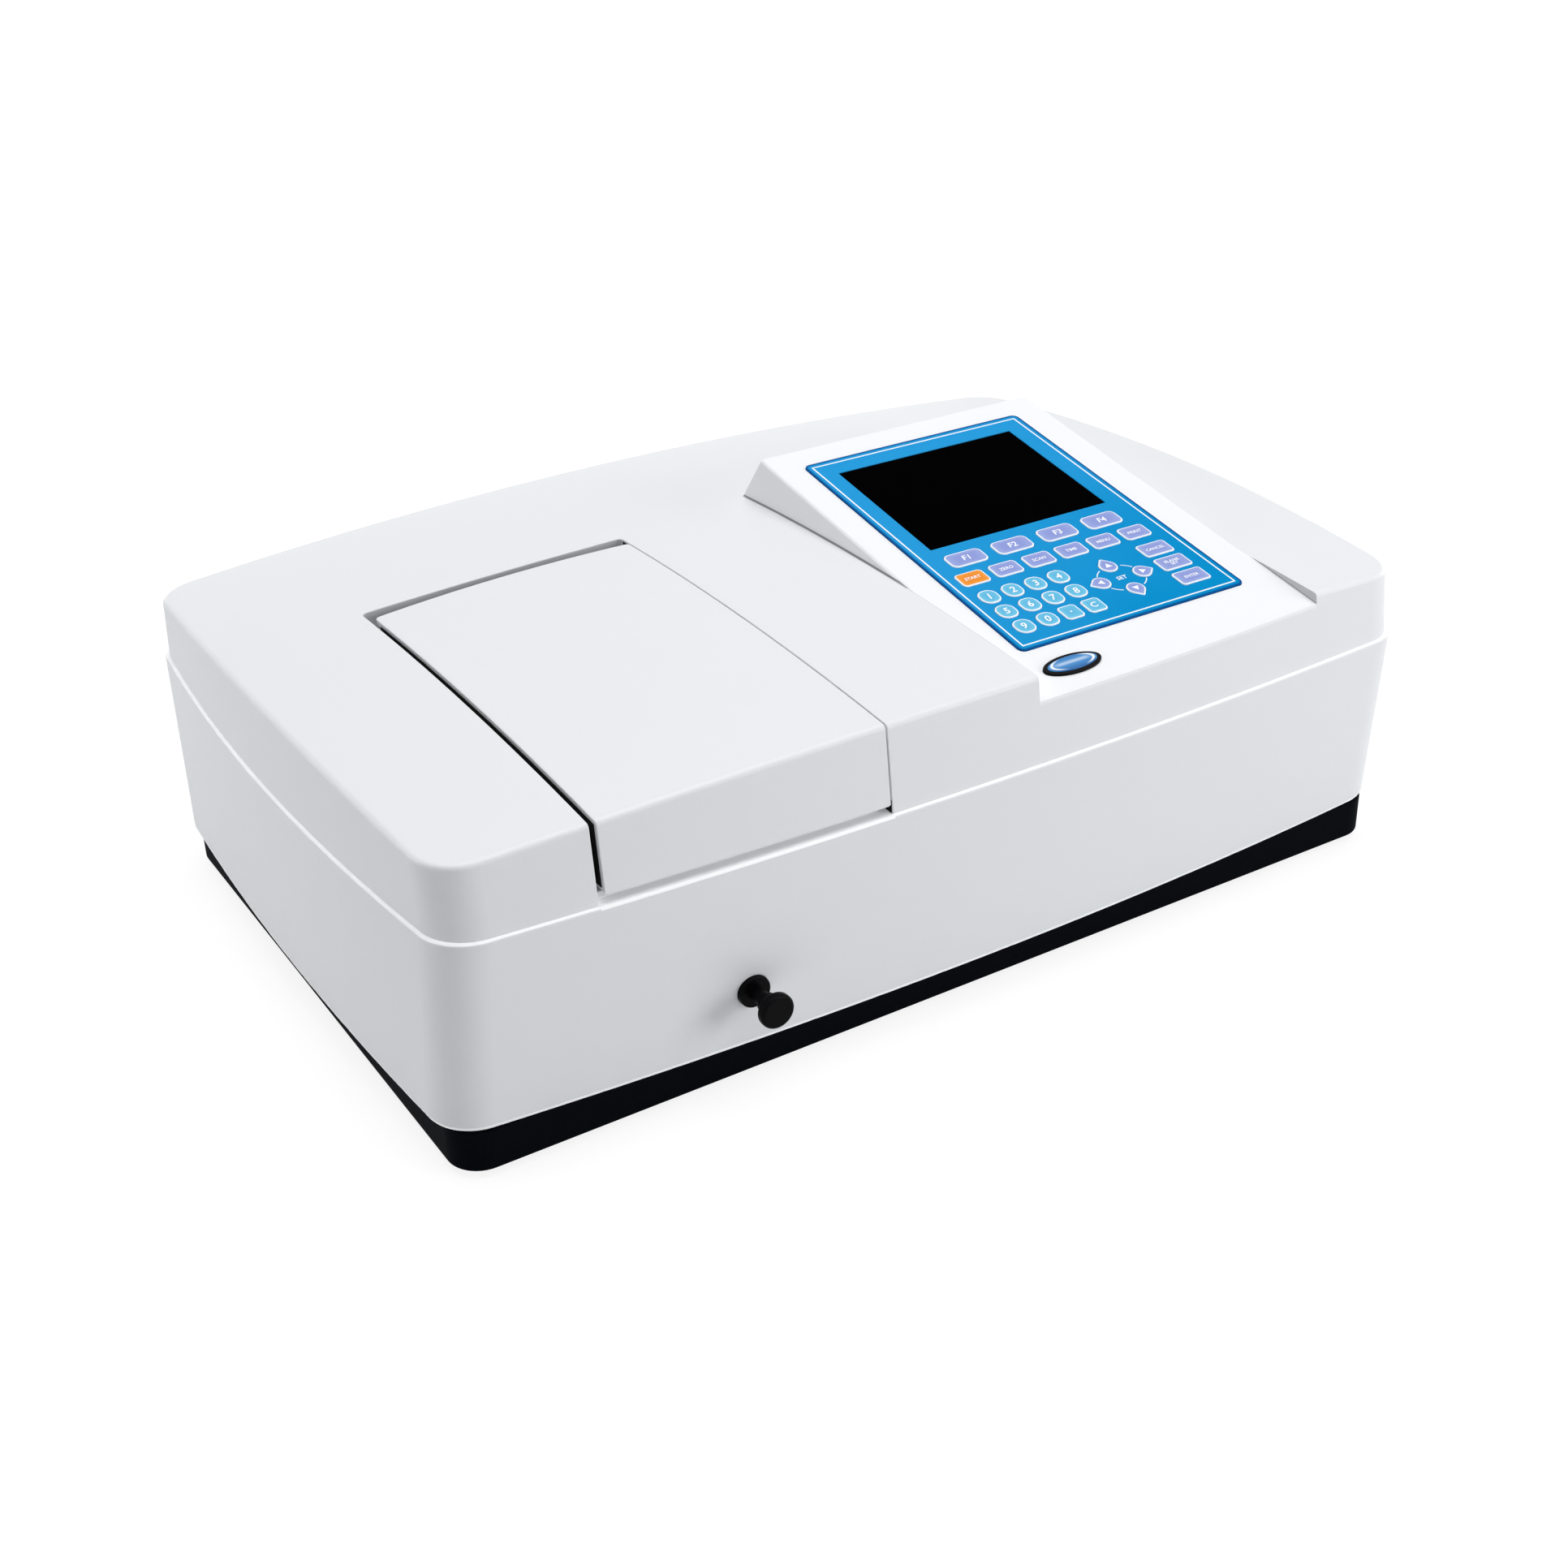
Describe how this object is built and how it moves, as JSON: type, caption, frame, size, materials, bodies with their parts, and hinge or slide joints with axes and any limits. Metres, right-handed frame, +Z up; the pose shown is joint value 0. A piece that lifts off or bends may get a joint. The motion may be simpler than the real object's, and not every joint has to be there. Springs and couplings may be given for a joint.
{
  "type": "uv-vis spectrophotometer",
  "caption": "Bench-top spectrophotometer: domed case on a black tray, hinged sample lid, cell changer with pull rod, and a sloping console with screen and keypad.",
  "frame": {"origin": "on the bench, under the middle of the instrument's outline, pull knob included", "axes": "+X to the right along the case's longest side, +Y to the rear, +Z up"},
  "size_m": [0.623, 0.4397, 0.2207],
  "materials": {
    "case_white": "satin",
    "lid_white": "satin",
    "tray_black": "satin black paint",
    "rubber": "matt",
    "steel": "ground",
    "chamber_black": "matt black",
    "carriage_black": "black anodised",
    "rod_black": "gloss black",
    "knob_black": "semi gloss",
    "overlay_blue": "printed film",
    "screen_black": "gloss",
    "board_green": "solder resist",
    "badge_black": "gloss",
    "badge_blue": "domed resin",
    "panel_grey": "satin",
    "inlet_black": "moulded",
    "rocker_black": "moulded",
    "fan_black": "moulded",
    "port_metal": "nickel plate",
    "deck_aluminium": "machined",
    "housing_aluminium": "cast",
    "grating_metal": "machined",
    "sheet_steel": "zinc plate",
    "detector_black": "satin",
    "key_violet": "satin film",
    "key_cyan": "satin film",
    "key_orange": "satin film"
  },
  "bodies": {
    "case": {"base_tray": "tray_black", "rubber_feet": "rubber", "lower_case": "case_white", "upper_cover": "case_white", "chamber_tub": "chamber_black", "guide_rails": "steel", "rod_collar": "knob_black", "keypad_overlay": "overlay_blue", "display_module": "screen_black", "keypad_board": "board_green", "main_board": "board_green", "badge_rim": "badge_black", "badge_lens": "badge_blue", "rear_panel": "panel_grey", "power_inlet": "inlet_black", "fan_frame": "fan_black", "data_ports": "port_metal", "optical_deck": "deck_aluminium", "monochromator_box": "housing_aluminium", "monochromator_cover": "housing_aluminium", "lamp_house": "sheet_steel", "detector_box": "detector_black", "power_supply": "sheet_steel"},
    "lid": {"sample_lid": "lid_white", "lid_hinge_pin": "steel"},
    "carriage": {"cell_carriage": "carriage_black", "pull_rod": "rod_black", "rod_knob": "knob_black"},
    "rocker": {"rocker_switch": "rocker_black"},
    "fan": {"fan_rotor": "fan_black"},
    "grating": {"grating_turret": "grating_metal"},
    "soft_key_1": {"soft_key_1": "key_violet"},
    "soft_key_2": {"soft_key_2": "key_violet"},
    "soft_key_3": {"soft_key_3": "key_violet"},
    "soft_key_4": {"soft_key_4": "key_violet"},
    "mode_key_1": {"mode_key_1": "key_violet"},
    "mode_key_2": {"mode_key_2": "key_violet"},
    "mode_key_3": {"mode_key_3": "key_violet"},
    "mode_key_4": {"mode_key_4": "key_violet"},
    "mode_key_5": {"mode_key_5": "key_violet"},
    "side_key_1": {"side_key_1": "key_violet"},
    "side_key_2": {"side_key_2": "key_violet"},
    "side_key_3": {"side_key_3": "key_violet"},
    "arrow_up_key": {"arrow_up_key": "key_violet"},
    "arrow_left_key": {"arrow_left_key": "key_violet"},
    "arrow_right_key": {"arrow_right_key": "key_violet"},
    "arrow_down_key": {"arrow_down_key": "key_violet"},
    "start_key": {"start_key": "key_orange"},
    "digit_key_0": {"digit_key_0": "key_cyan"},
    "digit_key_1": {"digit_key_1": "key_cyan"},
    "digit_key_2": {"digit_key_2": "key_cyan"},
    "digit_key_3": {"digit_key_3": "key_cyan"},
    "digit_key_4": {"digit_key_4": "key_cyan"},
    "digit_key_5": {"digit_key_5": "key_cyan"},
    "digit_key_6": {"digit_key_6": "key_cyan"},
    "digit_key_7": {"digit_key_7": "key_cyan"},
    "digit_key_8": {"digit_key_8": "key_cyan"},
    "digit_key_9": {"digit_key_9": "key_cyan"},
    "point_key": {"point_key": "key_cyan"},
    "clear_key": {"clear_key": "key_cyan"}
  },
  "joints": [
    {"name": "lid_hinge", "type": "hinge", "parent": "case", "child": "lid", "pos_m": [-0.14165, 0.05822, 0.1785], "axis": [-1, 0, 0], "range_deg": [0, 80]},
    {"name": "carriage_slide", "type": "slide", "parent": "case", "child": "carriage", "axis": [0, -1, 0], "range_m": [0, 0.054]},
    {"name": "rocker_tilt", "type": "hinge", "parent": "case", "child": "rocker", "pos_m": [0.1022, 0.19722, 0.07], "axis": [-1, 0, 0], "range_deg": [0, 18]},
    {"name": "fan_spin", "type": "hinge", "parent": "case", "child": "fan", "pos_m": [0.196, 0.18672, 0.082], "axis": [0, 1, 0], "continuous": true},
    {"name": "grating_turn", "type": "hinge", "parent": "case", "child": "grating", "pos_m": [0.02025, -0.04178, 0.08], "axis": [0, 0, 1], "range_deg": [-35, 35]},
    {"name": "soft_key_1_press", "type": "slide", "parent": "case", "child": "soft_key_1", "axis": [0, 0.1819, -0.9833], "range_m": [0, 0.0005], "stiffness_N_per_m": 300, "springref_m": -0.001},
    {"name": "soft_key_2_press", "type": "slide", "parent": "case", "child": "soft_key_2", "axis": [0, 0.1819, -0.9833], "range_m": [0, 0.0005], "stiffness_N_per_m": 300, "springref_m": -0.001},
    {"name": "soft_key_3_press", "type": "slide", "parent": "case", "child": "soft_key_3", "axis": [0, 0.1819, -0.9833], "range_m": [0, 0.0005], "stiffness_N_per_m": 300, "springref_m": -0.001},
    {"name": "soft_key_4_press", "type": "slide", "parent": "case", "child": "soft_key_4", "axis": [0, 0.1819, -0.9833], "range_m": [0, 0.0005], "stiffness_N_per_m": 300, "springref_m": -0.001},
    {"name": "mode_key_1_press", "type": "slide", "parent": "case", "child": "mode_key_1", "axis": [0, 0.1819, -0.9833], "range_m": [0, 0.0005], "stiffness_N_per_m": 300, "springref_m": -0.001},
    {"name": "mode_key_2_press", "type": "slide", "parent": "case", "child": "mode_key_2", "axis": [0, 0.1819, -0.9833], "range_m": [0, 0.0005], "stiffness_N_per_m": 300, "springref_m": -0.001},
    {"name": "mode_key_3_press", "type": "slide", "parent": "case", "child": "mode_key_3", "axis": [0, 0.1819, -0.9833], "range_m": [0, 0.0005], "stiffness_N_per_m": 300, "springref_m": -0.001},
    {"name": "mode_key_4_press", "type": "slide", "parent": "case", "child": "mode_key_4", "axis": [0, 0.1819, -0.9833], "range_m": [0, 0.0005], "stiffness_N_per_m": 300, "springref_m": -0.001},
    {"name": "mode_key_5_press", "type": "slide", "parent": "case", "child": "mode_key_5", "axis": [0, 0.1819, -0.9833], "range_m": [0, 0.0005], "stiffness_N_per_m": 300, "springref_m": -0.001},
    {"name": "side_key_1_press", "type": "slide", "parent": "case", "child": "side_key_1", "axis": [0, 0.1819, -0.9833], "range_m": [0, 0.0005], "stiffness_N_per_m": 300, "springref_m": -0.001},
    {"name": "side_key_2_press", "type": "slide", "parent": "case", "child": "side_key_2", "axis": [0, 0.1819, -0.9833], "range_m": [0, 0.0005], "stiffness_N_per_m": 300, "springref_m": -0.001},
    {"name": "side_key_3_press", "type": "slide", "parent": "case", "child": "side_key_3", "axis": [0, 0.1819, -0.9833], "range_m": [0, 0.0005], "stiffness_N_per_m": 300, "springref_m": -0.001},
    {"name": "arrow_up_key_press", "type": "slide", "parent": "case", "child": "arrow_up_key", "axis": [0, 0.1819, -0.9833], "range_m": [0, 0.0005], "stiffness_N_per_m": 300, "springref_m": -0.001},
    {"name": "arrow_left_key_press", "type": "slide", "parent": "case", "child": "arrow_left_key", "axis": [0, 0.1819, -0.9833], "range_m": [0, 0.0005], "stiffness_N_per_m": 300, "springref_m": -0.001},
    {"name": "arrow_right_key_press", "type": "slide", "parent": "case", "child": "arrow_right_key", "axis": [0, 0.1819, -0.9833], "range_m": [0, 0.0005], "stiffness_N_per_m": 300, "springref_m": -0.001},
    {"name": "arrow_down_key_press", "type": "slide", "parent": "case", "child": "arrow_down_key", "axis": [0, 0.1819, -0.9833], "range_m": [0, 0.0005], "stiffness_N_per_m": 300, "springref_m": -0.001},
    {"name": "start_key_press", "type": "slide", "parent": "case", "child": "start_key", "axis": [0, 0.1819, -0.9833], "range_m": [0, 0.0005], "stiffness_N_per_m": 300, "springref_m": -0.001},
    {"name": "digit_key_0_press", "type": "slide", "parent": "case", "child": "digit_key_0", "axis": [0, 0.1819, -0.9833], "range_m": [0, 0.0005], "stiffness_N_per_m": 300, "springref_m": -0.001},
    {"name": "digit_key_1_press", "type": "slide", "parent": "case", "child": "digit_key_1", "axis": [0, 0.1819, -0.9833], "range_m": [0, 0.0005], "stiffness_N_per_m": 300, "springref_m": -0.001},
    {"name": "digit_key_2_press", "type": "slide", "parent": "case", "child": "digit_key_2", "axis": [0, 0.1819, -0.9833], "range_m": [0, 0.0005], "stiffness_N_per_m": 300, "springref_m": -0.001},
    {"name": "digit_key_3_press", "type": "slide", "parent": "case", "child": "digit_key_3", "axis": [0, 0.1819, -0.9833], "range_m": [0, 0.0005], "stiffness_N_per_m": 300, "springref_m": -0.001},
    {"name": "digit_key_4_press", "type": "slide", "parent": "case", "child": "digit_key_4", "axis": [0, 0.1819, -0.9833], "range_m": [0, 0.0005], "stiffness_N_per_m": 300, "springref_m": -0.001},
    {"name": "digit_key_5_press", "type": "slide", "parent": "case", "child": "digit_key_5", "axis": [0, 0.1819, -0.9833], "range_m": [0, 0.0005], "stiffness_N_per_m": 300, "springref_m": -0.001},
    {"name": "digit_key_6_press", "type": "slide", "parent": "case", "child": "digit_key_6", "axis": [0, 0.1819, -0.9833], "range_m": [0, 0.0005], "stiffness_N_per_m": 300, "springref_m": -0.001},
    {"name": "digit_key_7_press", "type": "slide", "parent": "case", "child": "digit_key_7", "axis": [0, 0.1819, -0.9833], "range_m": [0, 0.0005], "stiffness_N_per_m": 300, "springref_m": -0.001},
    {"name": "digit_key_8_press", "type": "slide", "parent": "case", "child": "digit_key_8", "axis": [0, 0.1819, -0.9833], "range_m": [0, 0.0005], "stiffness_N_per_m": 300, "springref_m": -0.001},
    {"name": "digit_key_9_press", "type": "slide", "parent": "case", "child": "digit_key_9", "axis": [0, 0.1819, -0.9833], "range_m": [0, 0.0005], "stiffness_N_per_m": 300, "springref_m": -0.001},
    {"name": "point_key_press", "type": "slide", "parent": "case", "child": "point_key", "axis": [0, 0.1819, -0.9833], "range_m": [0, 0.0005], "stiffness_N_per_m": 300, "springref_m": -0.001},
    {"name": "clear_key_press", "type": "slide", "parent": "case", "child": "clear_key", "axis": [0, 0.1819, -0.9833], "range_m": [0, 0.0005], "stiffness_N_per_m": 300, "springref_m": -0.001}
  ]
}
